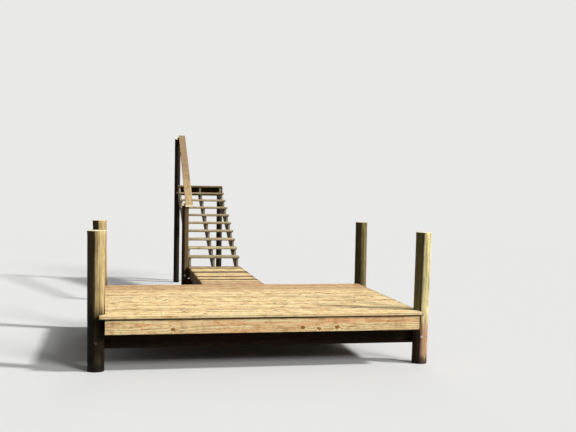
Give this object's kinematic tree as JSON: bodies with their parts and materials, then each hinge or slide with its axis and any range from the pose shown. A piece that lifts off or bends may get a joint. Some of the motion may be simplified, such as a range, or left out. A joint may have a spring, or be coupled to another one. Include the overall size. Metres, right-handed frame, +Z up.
{
  "type": "wooden jetty",
  "caption": "Low wooden deck on round piles with a board gangway and an open stair on notched stringers, with a single plank handrail.",
  "frame": {"origin": "middle of the whole object's plan, on the level that the piles' feet stand on", "axes": "+X along the deck boards to the right, +Y from the open front edge to the head of the stair, +Z up"},
  "size_m": [4.3752, 9.1854, 3.2928],
  "materials": {
    "treated_pine": "sawn, pale honey, lightly weathered",
    "shaded_pine": "sawn, brown",
    "round_pile": "peeled round pole, greenish tan with long checks",
    "old_post": "old round post, grey brown",
    "weathered_tread": "sawn, grey brown",
    "handrail_wood": "sawn, pinkish tan"
  },
  "bodies": {
    "root": {"deck_front_board": "treated_pine", "deck_notched_boards": "treated_pine", "deck_boards_front": "treated_pine", "deck_boards_middle": "treated_pine", "deck_boards_back": "treated_pine", "deck_back_board": "treated_pine", "front_rim": "treated_pine", "gangway_boards_near": "treated_pine", "gangway_boards_far": "treated_pine", "front_girder": "shaded_pine", "back_girder": "shaded_pine", "back_rim": "shaded_pine", "left_rim": "shaded_pine", "right_rim": "shaded_pine", "deck_joists": "shaded_pine", "gangway_beam_left": "shaded_pine", "gangway_beam_middle": "shaded_pine", "gangway_beam_right": "shaded_pine", "gangway_cap": "shaded_pine", "foot_sill": "shaded_pine", "head_beam": "shaded_pine", "stringer_left": "shaded_pine", "stringer_middle": "shaded_pine", "stringer_right": "shaded_pine", "pile_front_left": "round_pile", "pile_front_right": "round_pile", "pile_back_left": "round_pile", "pile_back_right": "round_pile", "foot_post_left": "old_post", "foot_post_right": "old_post", "head_post_left": "old_post", "head_post_right": "old_post", "tread_01": "weathered_tread", "tread_02": "weathered_tread", "tread_03": "weathered_tread", "tread_04": "weathered_tread", "tread_05": "weathered_tread", "tread_06": "weathered_tread", "tread_07": "weathered_tread", "tread_08": "weathered_tread", "tread_09": "weathered_tread", "tread_10": "weathered_tread", "handrail": "handrail_wood"}
  },
  "joints": []
}
